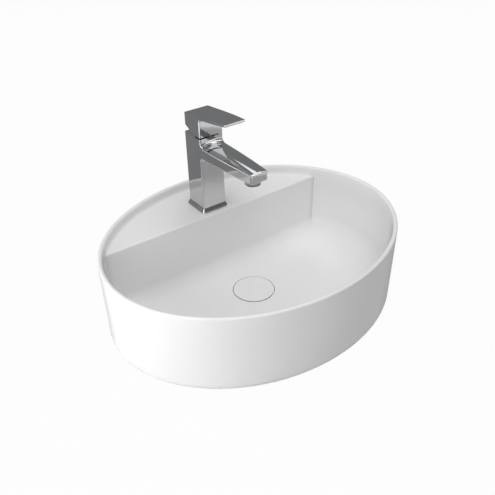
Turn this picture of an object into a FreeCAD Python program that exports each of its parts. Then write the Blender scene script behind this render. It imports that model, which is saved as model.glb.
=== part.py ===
import FreeCAD, Part
import math
import os

# Countertop basin, oval, with a rear deck, a single-lever mixer tap and a push-open waste.
# Millimetres. The origin is the middle of the basin's base on the counter, +Z is up,
# -Y is the user's side, +Y is the tap's side and +X is the user's right.

V = FreeCAD.Vector

# Basin casting
BASIN_LENGTH = 500.0
BASIN_WIDTH = 400.0
BASIN_HEIGHT = 140.0
BASE_EDGE_RADIUS = 15.0
RIM_THICKNESS = 7.0
RIM_FLAT = 1.2
DECK_DROP = 15.0
DECK_DEPTH = 105.0
DECK_EDGE_RADIUS = 3.0
DECK_FILLET = 4.0
DECK_THICKNESS = 11.0
DECK_WALL = 9.0
BOWL_FLOOR_Z = 20.0
BOWL_FLOOR_RISE = 6.0
BOWL_FILLET = 18.0
FLOOR_THICKNESS = 10.0
SIDE_WALL = 10.0
FOOT_LAND = 9.0
FOOT_HEIGHT = 24.0
DRAIN_SEAT_THICKNESS = 7.0
DRAIN_BOSS_WALL = 9.0

# Push-open waste
COVER_DIAMETER = 69.0
COVER_THICKNESS = 6.6
COVER_PROUD = 0.6
COVER_EDGE_RADIUS = 1.2
COVER_GAP = 1.0
COVER_LIFT = 9.0
COVER_SEAL_INNER_RADIUS = 24.0
COVER_SEAL_WIDTH = 5.0
COVER_SEAL_HEIGHT = 1.9
WASTE_FLANGE_DIAMETER = 64.0
WASTE_FLANGE_THICKNESS = 2.5
WASTE_THREAD_DIAMETER = 41.9
WASTE_BORE = 36.0
WASTE_MOUTH_CHAMFER = 1.2
WASTE_GASKET_THICKNESS = 1.5
WASTE_LOWER_GASKET_THICKNESS = 5.0
WASTE_WASHER_THICKNESS = 1.5
WASTE_NUT_HEIGHT = 10.0
WASTE_NUT_ACROSS_FLATS = 56.0
WASTE_SPARE_THREAD = 5.0
WASTE_GROOVE_WIDTH = 2.5
WASTE_GROOVE_DEPTH = 1.2
WASTE_OUTLET_LENGTH = 36.0
SPIDER_HUB_DIAMETER = 14.0
SPIDER_HEIGHT = 6.0
SPIDER_RIB = 3.0
SPIDER_RIB_COUNT = 3
GUIDE_DIAMETER = 16.0
GUIDE_SPIGOT_DIAMETER = 8.0
GUIDE_FLOOR = 2.0
PLUNGER_DIAMETER = 11.0
PLUNGER_HEAD_DIAMETER = 28.0
PLUNGER_HEAD_HEIGHT = 4.0
PLUNGER_GUIDED_LENGTH = 7.0
SPRING_WIRE = 1.0
SPRING_DIAMETER = 7.6
SPRING_TURNS = 5
SPRING_REST_HEIGHT = 10.0

# Tap casting
TAP_SETBACK = 34.0
TAP_HOLE_DIAMETER = 35.0
COLUMN_SIDE = 44.0
COLUMN_HEIGHT = 128.0
COLUMN_EDGE_RADIUS = 2.6
SPOUT_REACH = 129.0
SPOUT_NOSE = 17.0
SPOUT_TIP_WIDTH = 30.5
SPOUT_TIP_RADIUS = 3.4
SPOUT_CROWN = 3.2
SPOUT_TOP_BELOW_COLUMN = 10.7
SPOUT_TOP_FILLET = 6.5
SPOUT_ROOT_THICKNESS = 20.3
SPOUT_UNDERSIDE_RISE = 3.0
SPOUT_LOWER_FILLET = 6.0
CROWN_SWING = 40.0
TAP_GASKET_THICKNESS = 2.0
BASE_RING_SIDE = 50.0
BASE_RING_HEIGHT = 8.0
BASE_RING_LIP = 3.0
BASE_RING_TOP_WALL = 0.4
BASE_RING_CORNER = 3.0

# Tap waterways and fixings
INLET_SPREAD = 16.0
INLET_SETBACK = 4.0
INLET_BORE = 9.0
INLET_DEPTH = 14.0
INLET_RECESS_RADIUS = 17.0
INLET_RECESS_DEPTH = 15.0
FEED_BORE = 6.4
PORT_BORE = 5.0
PORT_SPREAD = 11.0
PORT_SETBACK = 3.0
OUTLET_PORT_SETBACK = 5.5
PASSAGE_WIDTH = 16.0
PASSAGE_DEPTH = 4.0
PASSAGE_FRONT_WALL = 2.2
SPOUT_BORE = 8.0
SPOUT_BORE_COVER = 4.6
STUD_DIAMETER = 8.0
STUD_SETOFF = 12.0
STUD_DEPTH = 12.0
STUD_TAIL = 32.0
FIXING_GASKET_THICKNESS = 3.0
FIXING_PLATE_THICKNESS = 3.0
FIXING_WALL_GAP = 2.0
FIXING_SLOT_WIDTH = 31.0
FIXING_SLOT_END = 4.5
FIXING_NUT_HEIGHT = 12.0
FIXING_NUT_ACROSS_FLATS = 13.0

# Cartridge
CARTRIDGE_DIAMETER = 25.0
CARTRIDGE_SHELL_WALL = 1.2
CARTRIDGE_SEAL_HEIGHT = 1.5
CARTRIDGE_SEAL_WIDTH = 1.2
CARTRIDGE_BASE_HEIGHT = 7.0
DISC_THICKNESS = 3.5
FIXED_DISC_DIAMETER = 21.0
MOVING_DISC_DIAMETER = 14.0
CARRIER_HEIGHT = 5.0
ROTOR_DIAMETER = 18.0
ROTOR_FLANGE_DIAMETER = 21.6
ROTOR_FLANGE_HEIGHT = 4.0
ROTOR_TOP_BELOW_COLUMN = 1.5
CARTRIDGE_CAP_HEIGHT = 3.5
CARTRIDGE_NUT_DIAMETER = 29.0
CARTRIDGE_NUT_HEIGHT = 7.0
CARTRIDGE_NUT_BELOW_COLUMN = 1.0
CARTRIDGE_COLLAR_DIAMETER = 34.0
CARTRIDGE_MOUTH_DIAMETER = 22.5
PIVOT_BELOW_COLUMN = 8.0
PIVOT_PIN_DIAMETER = 4.0
LEVER_TILT = 25.0
STEM_SIDE = 8.0
STEM_ARM = 11.0
STEM_ARM_DIAMETER = 4.0
STEM_BALL_DIAMETER = 5.2

# Lever handle
HANDLE_GAP = 2.5
HANDLE_REAR_INSET = 3.8
HANDLE_REAR_HEIGHT = 30.1
HANDLE_TIP_RISE = 12.7
HANDLE_REACH = 87.8
HANDLE_TIP_WIDTH = 36.4
HANDLE_TIP_RADIUS = 2.5
HANDLE_TIP_THICKNESS = 4.0
HANDLE_ROOT_THICKNESS = 5.6
HANDLE_ROOT_FILLET = 4.0
HANDLE_EDGE_RADIUS = 0.5
HANDLE_FRONT_RADIUS = 2.2
HANDLE_HEEL_HEIGHT = 10.0
HANDLE_HEEL_LENGTH = 20.5
STEM_SOCKET_DEPTH = 20.0
GRUB_DIAMETER = 5.0
GRUB_LENGTH = 8.0
GRUB_HEIGHT = 15.0
PLUG_DIAMETER = 6.0
PLUG_LENGTH = 4.0

# Aerator
AERATOR_DIAMETER = 24.8
AERATOR_DROP = 7.0
AERATOR_THREAD_DIAMETER = 22.0
AERATOR_THREAD_LENGTH = 6.0
AERATOR_BORE = 19.0
AERATOR_LEDGE = 1.2
AERATOR_INSERT_HEIGHT = 7.0
AERATOR_HOLE = 1.6
AERATOR_HOLE_RINGS = 3
AERATOR_WASHER_THICKNESS = 1.5

# Clearances
RUNNING_FIT = 0.05
SLIP_FIT = 0.1
MOVING_GAP = 0.3
CERAMIC_FIT = 1.55

# Making: how far a cutter runs past the face it cuts, how near counts as the same place,
# and the angle in radians below which two faces meet smoothly
PAST = 1.0
NEAR = 0.01
SMOOTH = 0.2

# Heights and places that follow from the sizes above
DECK_Z = BASIN_HEIGHT - DECK_DROP
DECK_UNDER_Z = DECK_Z - DECK_THICKNESS
DECK_EDGE_Y = BASIN_WIDTH / 2 - DECK_DEPTH
BOWL_A = BASIN_LENGTH / 2 - RIM_THICKNESS
DISH_RADIUS = (BOWL_A**2 + BOWL_FLOOR_RISE**2) / (2 * BOWL_FLOOR_RISE)

COVER_TOP_Z = BOWL_FLOOR_Z + COVER_PROUD
COVER_UNDER_Z = COVER_TOP_Z - COVER_THICKNESS
FLANGE_TOP_Z = COVER_UNDER_Z - COVER_SEAL_HEIGHT - SLIP_FIT
FLANGE_UNDER_Z = FLANGE_TOP_Z - WASTE_FLANGE_THICKNESS
DRAIN_SEAT_Z = FLANGE_UNDER_Z - WASTE_GASKET_THICKNESS
DRAIN_BOSS_Z = DRAIN_SEAT_Z - DRAIN_SEAT_THICKNESS
DRAIN_RECESS_RADIUS = COVER_DIAMETER / 2 + COVER_GAP
WASTE_RADIUS = WASTE_THREAD_DIAMETER / 2
DRAIN_HOLE_RADIUS = WASTE_RADIUS + CERAMIC_FIT
LOWER_GASKET_Z = DRAIN_BOSS_Z - WASTE_LOWER_GASKET_THICKNESS
WASTE_WASHER_Z = LOWER_GASKET_Z - WASTE_WASHER_THICKNESS
WASTE_NUT_Z = WASTE_WASHER_Z - WASTE_NUT_HEIGHT
WASTE_GROOVE_Z = WASTE_NUT_Z - WASTE_SPARE_THREAD
WASTE_OUTLET_Z = WASTE_GROOVE_Z - WASTE_GROOVE_WIDTH
WASTE_END_Z = WASTE_OUTLET_Z - WASTE_OUTLET_LENGTH
PLUNGER_HEAD_Z = COVER_UNDER_Z - PLUNGER_HEAD_HEIGHT
GUIDE_TOP_Z = PLUNGER_HEAD_Z - MOVING_GAP
PLUNGER_END_Z = GUIDE_TOP_Z - COVER_LIFT - PLUNGER_GUIDED_LENGTH
GUIDE_BORE_END_Z = PLUNGER_END_Z - SPRING_REST_HEIGHT
SPIDER_TOP_Z = GUIDE_BORE_END_Z - GUIDE_FLOOR
SPIDER_Z = SPIDER_TOP_Z - SPIDER_HEIGHT

TAP_Y = DECK_EDGE_Y + TAP_SETBACK
FIXING_PLATE_RADIUS = TAP_SETBACK - DECK_WALL - FIXING_WALL_GAP
COLUMN_HALF = COLUMN_SIDE / 2
COLUMN_FRONT_Y = TAP_Y - COLUMN_HALF
COLUMN_REAR_Y = TAP_Y + COLUMN_HALF
COLUMN_Z = DECK_Z + TAP_GASKET_THICKNESS
COLUMN_TOP_Z = COLUMN_Z + COLUMN_HEIGHT
INLET_Z = COLUMN_Z + INLET_RECESS_DEPTH
STUD_TOP_Z = INLET_Z + STUD_DEPTH
STUD_Y = TAP_Y - STUD_SETOFF
FIXING_PLATE_TOP_Z = DECK_UNDER_Z - FIXING_GASKET_THICKNESS
FIXING_NUT_TOP_Z = FIXING_PLATE_TOP_Z - FIXING_PLATE_THICKNESS
AERATOR_Y = TAP_Y - SPOUT_REACH
SPOUT_TIP_Y = AERATOR_Y - SPOUT_NOSE
SPOUT_TOP_Z = COLUMN_TOP_Z - SPOUT_TOP_BELOW_COLUMN
SPOUT_ROOT_Z = SPOUT_TOP_Z - SPOUT_ROOT_THICKNESS
SPOUT_LENGTH = COLUMN_FRONT_Y - SPOUT_TIP_Y
SPOUT_PITCH = math.atan2(SPOUT_UNDERSIDE_RISE, SPOUT_LENGTH)
SPOUT_OUTLET_Z = SPOUT_ROOT_Z + SPOUT_UNDERSIDE_RISE * (COLUMN_FRONT_Y - AERATOR_Y) / SPOUT_LENGTH

PIVOT_Z = COLUMN_TOP_Z - PIVOT_BELOW_COLUMN
BALL_Z = PIVOT_Z - STEM_ARM
CARRIER_Z = BALL_Z - STEM_BALL_DIAMETER / 2 - MOVING_GAP
MOVING_DISC_Z = CARRIER_Z - DISC_THICKNESS
FIXED_DISC_TOP_Z = MOVING_DISC_Z - RUNNING_FIT
FIXED_DISC_Z = FIXED_DISC_TOP_Z - DISC_THICKNESS
CARTRIDGE_BASE_Z = FIXED_DISC_Z - CARTRIDGE_BASE_HEIGHT
CHAMBER_FLOOR_Z = CARTRIDGE_BASE_Z - CARTRIDGE_SEAL_HEIGHT
CHAMBER_RADIUS = CARTRIDGE_DIAMETER / 2 + SLIP_FIT
NUT_TOP_Z = COLUMN_TOP_Z - CARTRIDGE_NUT_BELOW_COLUMN
SHELL_TOP_Z = NUT_TOP_Z - CARTRIDGE_NUT_HEIGHT
SHELL_CAP_Z = SHELL_TOP_Z - CARTRIDGE_CAP_HEIGHT
SHELL_BORE_RADIUS = CARTRIDGE_DIAMETER / 2 - CARTRIDGE_SHELL_WALL
ROTOR_Z = SHELL_CAP_Z - RUNNING_FIT - ROTOR_FLANGE_HEIGHT
ROTOR_TOP_Z = COLUMN_TOP_Z - ROTOR_TOP_BELOW_COLUMN
TILT = math.radians(LEVER_TILT)
DISC_STROKE = STEM_ARM * math.sin(TILT)

HANDLE_Z = COLUMN_TOP_Z + HANDLE_GAP
HANDLE_REAR_Y = COLUMN_REAR_Y - HANDLE_REAR_INSET
HANDLE_TIP_Y = TAP_Y - HANDLE_REACH
SOCKET_TOP_Z = HANDLE_Z + STEM_SOCKET_DEPTH
STEM_TOP_Z = SOCKET_TOP_Z - MOVING_GAP
GRUB_Z = HANDLE_Z + GRUB_HEIGHT
GRUB_Y = TAP_Y + STEM_SIDE / 2
PLUG_Y = HANDLE_REAR_Y - PLUG_LENGTH

SOCKET_RADIUS = AERATOR_THREAD_DIAMETER / 2 + SLIP_FIT
SPOUT_BORE_Z = SPOUT_TOP_Z - SPOUT_BORE_COVER - SPOUT_BORE / 2
AERATOR_CHAMBER_Z = SPOUT_BORE_Z + SPOUT_BORE / 2
AERATOR_Z = SPOUT_OUTLET_Z - AERATOR_DROP
AERATOR_THREAD_TOP_Z = SPOUT_OUTLET_Z + AERATOR_THREAD_LENGTH


def box(x0, x1, y0, y1, z0, z1):
    return Part.makeBox(x1 - x0, y1 - y0, z1 - z0, V(x0, y0, z0))


def post(radius, z0, z1, x=0.0, y=0.0):
    return Part.makeCylinder(radius, z1 - z0, V(x, y, z0))


def ring(outer, inner, z0, z1, x=0.0, y=0.0):
    return post(outer, z0, z1, x, y).cut(post(inner, z0 - PAST, z1 + PAST, x, y))


def oval(inset, z0, z1):
    curve = Part.Ellipse(V(0, 0, z0), BASIN_LENGTH / 2 - inset, BASIN_WIDTH / 2 - inset)
    return Part.Face(Part.Wire(curve.toShape())).extrude(V(0, 0, z1 - z0))


def outline(corners):
    """Closed face through corners, each a point and its corner radius (0 for a sharp corner)."""
    bends = []
    for i, (point, radius) in enumerate(corners):
        before = (corners[i - 1][0] - point).normalize()
        after = (corners[(i + 1) % len(corners)][0] - point).normalize()
        if radius == 0:
            bends.append((point, None, point))
            continue
        half = before.getAngle(after) / 2
        reach = radius / math.tan(half)
        inward = (before + after).normalize()
        through = point + inward * (radius / math.sin(half) - radius)
        bends.append((point + before * reach, through, point + after * reach))
    edges = []
    for i, (first, through, last) in enumerate(bends):
        if through is not None:
            edges.append(Part.Arc(first, through, last).toShape())
        edges.append(Part.makeLine(last, bends[(i + 1) % len(bends)][0]))
    return Part.Face(Part.Wire(edges))


def across(corners, half_width):
    """Side profile, given as (y, z, radius), carried across the part in X."""
    face = outline([(V(-half_width, y, z), radius) for y, z, radius in corners])
    return face.extrude(V(2 * half_width, 0, 0))


def turned(corners, x=0.0, y=0.0):
    """Half profile, given as (radius, z), turned about a vertical axis."""
    face = outline([(V(x + r, y, z), 0) for r, z in corners])
    return face.revolve(V(x, y, 0), V(0, 0, 1), 360)


def hexagon(across_flats, z0, z1, x=0.0, y=0.0):
    corner = across_flats / math.sqrt(3)
    points = []
    for i in range(6):
        turn = math.radians(60 * i)
        points.append((V(x + corner * math.cos(turn), y + corner * math.sin(turn), z0), 0))
    return outline(points).extrude(V(0, 0, z1 - z0))


def sharp_edges(shape, wanted):
    """Edges that aren't smooth and whose middle point is wanted."""
    chosen = []
    for edge in shape.Edges:
        faces = shape.ancestorsOfType(edge, Part.Face)
        if len(faces) != 2:
            continue
        middle = edge.valueAt((edge.FirstParameter + edge.LastParameter) / 2)
        normals = [f.normalAt(*f.Surface.parameter(middle)) for f in faces]
        if normals[0].getAngle(normals[1]) > SMOOTH and wanted(middle):
            chosen.append(edge)
    return chosen


def waisted_plan(rear_y, front_y, tip_y, half, tip_half, tip_radius, z0, z1):
    """Plan of a square block whose sides run on, tangent, to a narrower tip."""
    run = front_y - tip_y
    narrowing = half - tip_half
    bend = (run**2 + narrowing**2) / (2 * narrowing)
    sweep = math.asin(run / bend) / 2
    side_x = half - bend * (1 - math.cos(sweep))
    side_y = front_y - bend * math.sin(sweep)
    rear_left, rear_right = V(-half, rear_y, z0), V(half, rear_y, z0)
    left, right = V(-half, front_y, z0), V(half, front_y, z0)
    tip_left, tip_right = V(-tip_half, tip_y, z0), V(tip_half, tip_y, z0)
    edges = [
        Part.makeLine(rear_left, left),
        Part.Arc(left, V(-side_x, side_y, z0), tip_left).toShape(),
        Part.makeLine(tip_left, tip_right),
        Part.Arc(tip_right, V(side_x, side_y, z0), right).toShape(),
        Part.makeLine(right, rear_right),
        Part.makeLine(rear_right, rear_left),
    ]
    plan = Part.Face(Part.Wire(edges)).extrude(V(0, 0, z1 - z0))
    corners = sharp_edges(plan, lambda p: p.y < tip_y + NEAR and z0 < p.z < z1)
    upright = [edge for edge in corners if edge.BoundBox.ZLength > (z1 - z0) / 2]
    return plan.makeFillet(tip_radius, upright)


def deck_edge_round():
    """What the deck loses where its front edge is rounded over."""
    radius = DECK_EDGE_RADIUS
    reach = BASIN_LENGTH
    top = DECK_Z + DECK_FILLET + PAST
    strip = box(-reach, reach, DECK_EDGE_Y - PAST, DECK_EDGE_Y + radius, DECK_Z - radius, top)
    axis = V(-reach, DECK_EDGE_Y + radius, DECK_Z - radius)
    strip = strip.cut(Part.makeCylinder(radius, 2 * reach, axis, V(1, 0, 0)))
    return strip.common(oval(RIM_THICKNESS, DECK_Z - radius - PAST, top + PAST))


def basin_bowl():
    top = BASIN_HEIGHT + PAST
    outer = oval(0, 0, BASIN_HEIGHT)
    outer = outer.makeFillet(BASE_EDGE_RADIUS, [e for e in outer.Edges if e.BoundBox.ZMax < NEAR])

    # The bowl: upright oval side, straight deck wall, dished floor and one fillet round it
    dish_centre = V(0, 0, BOWL_FLOOR_Z + DISH_RADIUS)
    dish = Part.makeSphere(DISH_RADIUS, dish_centre, V(0, 1, 0))
    dish.rotate(dish_centre, V(0, 1, 0), 90)
    front = box(-BASIN_LENGTH, BASIN_LENGTH, -BASIN_WIDTH, DECK_EDGE_Y, 0, top)
    bowl_top = DECK_Z + DECK_FILLET + PAST
    bowl = oval(RIM_THICKNESS, 0, bowl_top).common(dish).common(front)
    floor_z = BOWL_FLOOR_Z + BOWL_FLOOR_RISE
    bowl = bowl.makeFillet(BOWL_FILLET, [e for e in bowl.Edges if e.BoundBox.ZMax < floor_z + NEAR])

    # Below: a foot ring round a shallow recess, and the open space under the deck
    foot_inset = BASE_EDGE_RADIUS + FOOT_LAND
    under_floor = Part.makeSphere(DISH_RADIUS + FLOOR_THICKNESS, dish_centre, V(0, 1, 0))
    under_floor.rotate(dish_centre, V(0, 1, 0), 90)
    recess = oval(foot_inset, -PAST, FOOT_HEIGHT).cut(under_floor)
    rear_y = DECK_EDGE_Y + DECK_WALL
    rear = box(-BASIN_LENGTH, BASIN_LENGTH, rear_y, BASIN_WIDTH, -PAST, DECK_UNDER_Z)
    rear_space = oval(SIDE_WALL, FOOT_HEIGHT, DECK_UNDER_Z).common(rear)
    rear_mouth = oval(foot_inset, -PAST, FOOT_HEIGHT + PAST).common(rear)

    # Above the deck: the rim's inner side, with a fillet where it meets the deck
    above = oval(RIM_THICKNESS, DECK_Z, top)
    foot_edges = [e for e in above.Edges if e.BoundBox.ZMax < DECK_Z + NEAR]
    above = above.makeFillet(DECK_FILLET, foot_edges)
    casting = outer.cut(above).cut(bowl)
    casting = casting.cut(recess).cut(rear_space).cut(rear_mouth)
    rim_radius = (RIM_THICKNESS - RIM_FLAT) / 2
    rim = [e for e in casting.Edges if e.BoundBox.ZMin > BASIN_HEIGHT - NEAR]
    casting = casting.makeFillet(rim_radius, rim)
    casting = casting.cut(deck_edge_round())

    boss_radius = DRAIN_RECESS_RADIUS + DRAIN_BOSS_WALL
    casting = casting.fuse(post(boss_radius, DRAIN_BOSS_Z, BOWL_FLOOR_Z - FLOOR_THICKNESS / 2))
    casting = casting.cut(post(DRAIN_RECESS_RADIUS, DRAIN_SEAT_Z, top))
    casting = casting.cut(post(DRAIN_HOLE_RADIUS, -top, top))
    casting = casting.cut(post(TAP_HOLE_DIAMETER / 2, DECK_UNDER_Z - PAST, top, 0, TAP_Y))
    return casting


def waste_cover():
    cover = post(COVER_DIAMETER / 2, COVER_UNDER_Z, COVER_TOP_Z)
    rims = [e for e in cover.Edges if e.BoundBox.ZLength < NEAR]
    return cover.makeFillet(COVER_EDGE_RADIUS, rims)


def waste_cover_seal():
    outer = COVER_SEAL_INNER_RADIUS + COVER_SEAL_WIDTH
    return ring(outer, COVER_SEAL_INNER_RADIUS, COVER_UNDER_Z - COVER_SEAL_HEIGHT, COVER_UNDER_Z)


def waste_plunger():
    stem = post(PLUNGER_DIAMETER / 2, PLUNGER_END_Z, PLUNGER_HEAD_Z)
    return stem.fuse(post(PLUNGER_HEAD_DIAMETER / 2, PLUNGER_HEAD_Z, COVER_UNDER_Z)).removeSplitter()


def waste_spring():
    radius = SPRING_DIAMETER / 2 - SPRING_WIRE / 2
    margin = SPRING_WIRE / 2 + SLIP_FIT
    rise = SPRING_REST_HEIGHT - 2 * margin
    coil = Part.makeHelix(rise / SPRING_TURNS, rise, radius)
    end = coil.Edges[0].valueAt(coil.Edges[0].FirstParameter)
    along = coil.Edges[0].tangentAt(coil.Edges[0].FirstParameter)
    wire = Part.Wire(Part.Circle(end, along, SPRING_WIRE / 2).toShape())
    spring = Part.Wire(coil.Edges).makePipeShell([wire], True, True)
    spring.translate(V(0, 0, GUIDE_BORE_END_Z + margin))
    return spring


def waste_guide():
    bore = PLUNGER_DIAMETER / 2 + RUNNING_FIT
    outer = GUIDE_DIAMETER / 2
    spigot = GUIDE_SPIGOT_DIAMETER / 2
    return turned(
        [
            (0, SPIDER_Z),
            (spigot, SPIDER_Z),
            (spigot, SPIDER_TOP_Z),
            (outer, SPIDER_TOP_Z),
            (outer, GUIDE_TOP_Z),
            (bore, GUIDE_TOP_Z),
            (bore, GUIDE_BORE_END_Z),
            (0, GUIDE_BORE_END_Z),
        ]
    )


def waste_body():
    bore = WASTE_BORE / 2
    flange = WASTE_FLANGE_DIAMETER / 2
    groove = WASTE_RADIUS - WASTE_GROOVE_DEPTH
    tube = turned(
        [
            (bore + WASTE_MOUTH_CHAMFER, FLANGE_TOP_Z),
            (flange, FLANGE_TOP_Z),
            (flange, FLANGE_UNDER_Z),
            (WASTE_RADIUS, FLANGE_UNDER_Z),
            (WASTE_RADIUS, WASTE_GROOVE_Z),
            (groove, WASTE_GROOVE_Z),
            (groove, WASTE_OUTLET_Z),
            (WASTE_RADIUS, WASTE_OUTLET_Z),
            (WASTE_RADIUS, WASTE_END_Z),
            (bore, WASTE_END_Z),
            (bore, FLANGE_TOP_Z - WASTE_MOUTH_CHAMFER),
        ]
    )
    spider = post(SPIDER_HUB_DIAMETER / 2, SPIDER_Z, SPIDER_TOP_Z)
    rib_end = (bore + WASTE_RADIUS) / 2 - WASTE_GROOVE_DEPTH / 2
    for i in range(SPIDER_RIB_COUNT):
        rib = box(0, rib_end, -SPIDER_RIB / 2, SPIDER_RIB / 2, SPIDER_Z, SPIDER_TOP_Z)
        rib.rotate(V(0, 0, 0), V(0, 0, 1), 90 + 360 * i / SPIDER_RIB_COUNT)
        spider = spider.fuse(rib)
    spigot_hole = GUIDE_SPIGOT_DIAMETER / 2 + RUNNING_FIT
    spider = spider.cut(post(spigot_hole, SPIDER_Z - PAST, SPIDER_TOP_Z + PAST))
    return tube.fuse(spider).removeSplitter()


def waste_top_gasket():
    inner = DRAIN_HOLE_RADIUS + SLIP_FIT
    return ring(WASTE_FLANGE_DIAMETER / 2, inner, DRAIN_SEAT_Z, FLANGE_UNDER_Z)


def waste_lower_gasket():
    inner = WASTE_RADIUS + SLIP_FIT
    outer = WASTE_NUT_ACROSS_FLATS / 2
    neck = (inner + outer) / 2
    middle_z = (LOWER_GASKET_Z + DRAIN_BOSS_Z) / 2
    return turned(
        [
            (inner, LOWER_GASKET_Z),
            (outer, LOWER_GASKET_Z),
            (outer, middle_z),
            (neck, DRAIN_BOSS_Z),
            (inner, DRAIN_BOSS_Z),
        ]
    )


def waste_slip_washer():
    return ring(WASTE_NUT_ACROSS_FLATS / 2, WASTE_RADIUS + SLIP_FIT, WASTE_WASHER_Z, LOWER_GASKET_Z)


def waste_back_nut():
    nut = hexagon(WASTE_NUT_ACROSS_FLATS, WASTE_NUT_Z, WASTE_WASHER_Z)
    return nut.cut(post(WASTE_RADIUS + SLIP_FIT, WASTE_NUT_Z - PAST, WASTE_WASHER_Z + PAST))


def tap_outside():
    """Column and spout: plan, crowned top and underside each cut the others."""
    plan = waisted_plan(
        COLUMN_REAR_Y,
        COLUMN_FRONT_Y,
        SPOUT_TIP_Y,
        COLUMN_HALF,
        SPOUT_TIP_WIDTH / 2,
        SPOUT_TIP_RADIUS,
        COLUMN_Z,
        COLUMN_TOP_Z,
    )
    ahead = SPOUT_TIP_Y - PAST
    above = COLUMN_TOP_Z + COLUMN_SIDE
    crown_radius = (COLUMN_HALF**2 + SPOUT_CROWN**2) / (2 * SPOUT_CROWN)
    axis_z = SPOUT_TOP_Z - crown_radius
    side = outline(
        [
            (V(0, COLUMN_REAR_Y, axis_z + PAST), 0),
            (V(0, ahead, axis_z + PAST), 0),
            (V(0, ahead, SPOUT_TOP_Z), 0),
            (V(0, COLUMN_FRONT_Y, SPOUT_TOP_Z), SPOUT_TOP_FILLET),
            (V(0, COLUMN_FRONT_Y, above), 0),
            (V(0, COLUMN_REAR_Y, above), 0),
        ]
    )
    side.rotate(V(0, 0, axis_z), V(0, 1, 0), -CROWN_SWING)
    crowned = side.revolve(V(0, 0, axis_z), V(0, 1, 0), 2 * CROWN_SWING)
    ahead_z = SPOUT_ROOT_Z + (COLUMN_FRONT_Y - ahead) * math.tan(SPOUT_PITCH)
    below = COLUMN_Z - PAST
    underside = across(
        [
            (COLUMN_REAR_Y, below, 0),
            (COLUMN_FRONT_Y, below, 0),
            (COLUMN_FRONT_Y, SPOUT_ROOT_Z, SPOUT_LOWER_FILLET),
            (ahead, ahead_z, 0),
            (ahead, above, 0),
            (COLUMN_REAR_Y, above, 0),
        ],
        COLUMN_SIDE,
    )
    column = box(-COLUMN_HALF, COLUMN_HALF, COLUMN_FRONT_Y, COLUMN_REAR_Y, COLUMN_Z, COLUMN_TOP_Z)
    outside = plan.common(crowned).common(underside).fuse(column).removeSplitter().Solids[0]
    edges = sharp_edges(outside, lambda p: COLUMN_Z + NEAR < p.z < COLUMN_TOP_Z - NEAR)
    return outside.makeFillet(COLUMN_EDGE_RADIUS, edges)


def tap_body():
    body = tap_outside()
    # Cartridge chamber and the thread of its nut
    above = COLUMN_TOP_Z + PAST
    body = body.cut(post(CHAMBER_RADIUS, CHAMBER_FLOOR_Z, above, 0, TAP_Y))
    body = body.cut(post(CARTRIDGE_NUT_DIAMETER / 2 + SLIP_FIT, SHELL_TOP_Z, above, 0, TAP_Y))
    # Recess in the foot, with the supply threads and the stud's thread in its roof
    body = body.cut(post(INLET_RECESS_RADIUS, COLUMN_Z - PAST, INLET_Z, 0, TAP_Y))
    body = body.cut(post(STUD_DIAMETER / 2 + RUNNING_FIT, INLET_Z - PAST, STUD_TOP_Z, 0, STUD_Y))
    # Hot and cold feeds from the recess to the chamber floor
    feed_top_z = CHAMBER_FLOOR_Z - INLET_BORE
    crossing_z = feed_top_z - PORT_BORE
    hot_port, cold_port, mixed_port = port_places()
    for inlet_x, port in ((-INLET_SPREAD / 2, hot_port), (INLET_SPREAD / 2, cold_port)):
        inlet_y = TAP_Y + INLET_SETBACK
        body = body.cut(post(INLET_BORE / 2, INLET_Z - PAST, INLET_Z + INLET_DEPTH, inlet_x, inlet_y))
        body = body.cut(post(FEED_BORE / 2, INLET_Z, feed_top_z, inlet_x, inlet_y))
        body = body.cut(post(PORT_BORE / 2, crossing_z, CHAMBER_FLOOR_Z + PAST, *port))
    # Mixed water: down from the chamber, forward, up inside the front wall and along the spout
    passage_front_y = COLUMN_FRONT_Y + PASSAGE_FRONT_WALL
    passage_rear_y = passage_front_y + PASSAGE_DEPTH
    half = PASSAGE_WIDTH / 2
    half_port = PORT_BORE / 2
    crossing_top_z = crossing_z + PORT_BORE
    body = body.cut(post(half_port, crossing_z, CHAMBER_FLOOR_Z + PAST, *mixed_port))
    body = body.cut(
        box(-half_port, half_port, passage_front_y, mixed_port[1], crossing_z, crossing_top_z)
    )
    body = body.cut(box(-half, half, passage_front_y, passage_rear_y, crossing_z, AERATOR_CHAMBER_Z))
    bore_start = V(0, AERATOR_Y, SPOUT_BORE_Z)
    body = body.cut(
        Part.makeCylinder(SPOUT_BORE / 2, passage_rear_y - AERATOR_Y, bore_start, V(0, 1, 0))
    )
    return body.cut(post(SOCKET_RADIUS, AERATOR_Z, AERATOR_CHAMBER_Z, 0, AERATOR_Y))


def rounded_square(side, radius, z):
    half = side / 2
    places = [(-half, -half), (half, -half), (half, half), (-half, half)]
    return outline([(V(x, TAP_Y + y, z), radius) for x, y in places])


def tap_base_ring():
    """Square collar round the foot of the column: an upright lip and a straight flare."""
    top_z = DECK_Z + BASE_RING_HEIGHT
    lip_z = DECK_Z + BASE_RING_LIP
    opening = COLUMN_HALF + SLIP_FIT
    top_side = 2 * (opening + BASE_RING_TOP_WALL)
    lip = rounded_square(BASE_RING_SIDE, BASE_RING_CORNER, DECK_Z).extrude(V(0, 0, BASE_RING_LIP))
    lower = rounded_square(BASE_RING_SIDE, BASE_RING_CORNER, lip_z).OuterWire
    upper = rounded_square(top_side, COLUMN_EDGE_RADIUS, top_z).OuterWire
    flare = Part.makeLoft([lower, upper], True, True)
    block = lip.fuse(flare).removeSplitter()
    low, high = DECK_Z - PAST, top_z + PAST
    hole = rounded_square(2 * opening, COLUMN_EDGE_RADIUS, low).extrude(V(0, 0, high - low))
    return block.cut(hole)


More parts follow.
